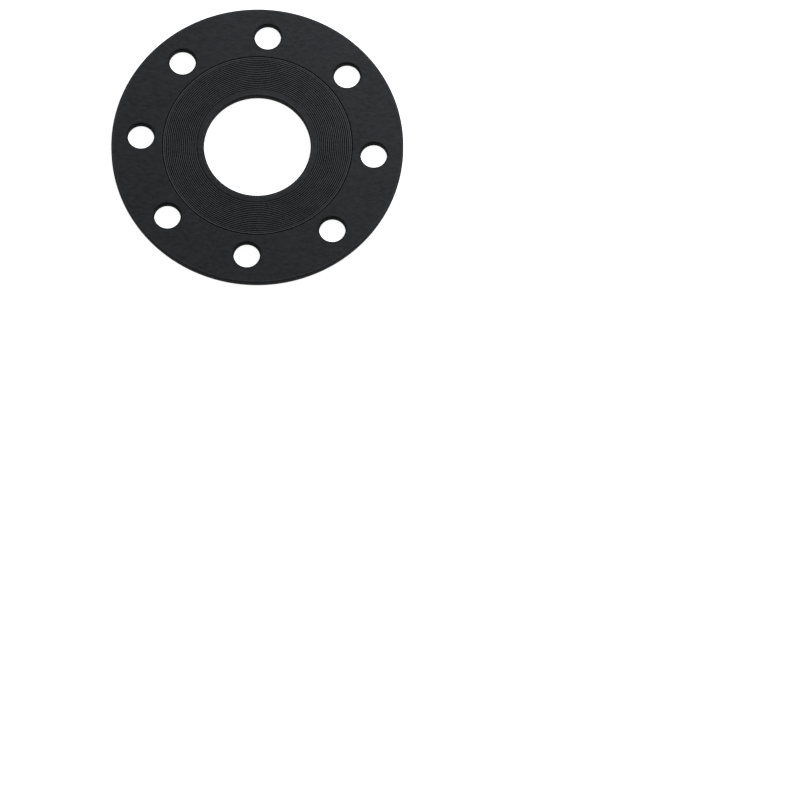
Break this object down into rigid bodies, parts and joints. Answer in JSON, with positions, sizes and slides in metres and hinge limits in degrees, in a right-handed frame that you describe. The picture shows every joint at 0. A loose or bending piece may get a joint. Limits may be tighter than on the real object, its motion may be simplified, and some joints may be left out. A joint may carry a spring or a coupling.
{
  "type": "rubber flange gasket",
  "caption": "Flat full-face rubber gasket for a bolted pipe flange, with a round bore, a circle of bolt holes and a band of fine concentric sealing rings.",
  "frame": {"origin": "on the bore's axis, at the underside, which is the plain sealing face that the gasket lies on", "axes": "+Z along the bore's axis, up through the thickness to the ringed face; +X through the middle of one bolt hole"},
  "size_m": [0.2, 0.2, 0.006],
  "materials": {
    "rubber": "matte, fine-grained black"
  },
  "bodies": {
    "root": {"flange_gasket": "rubber"}
  },
  "joints": []
}
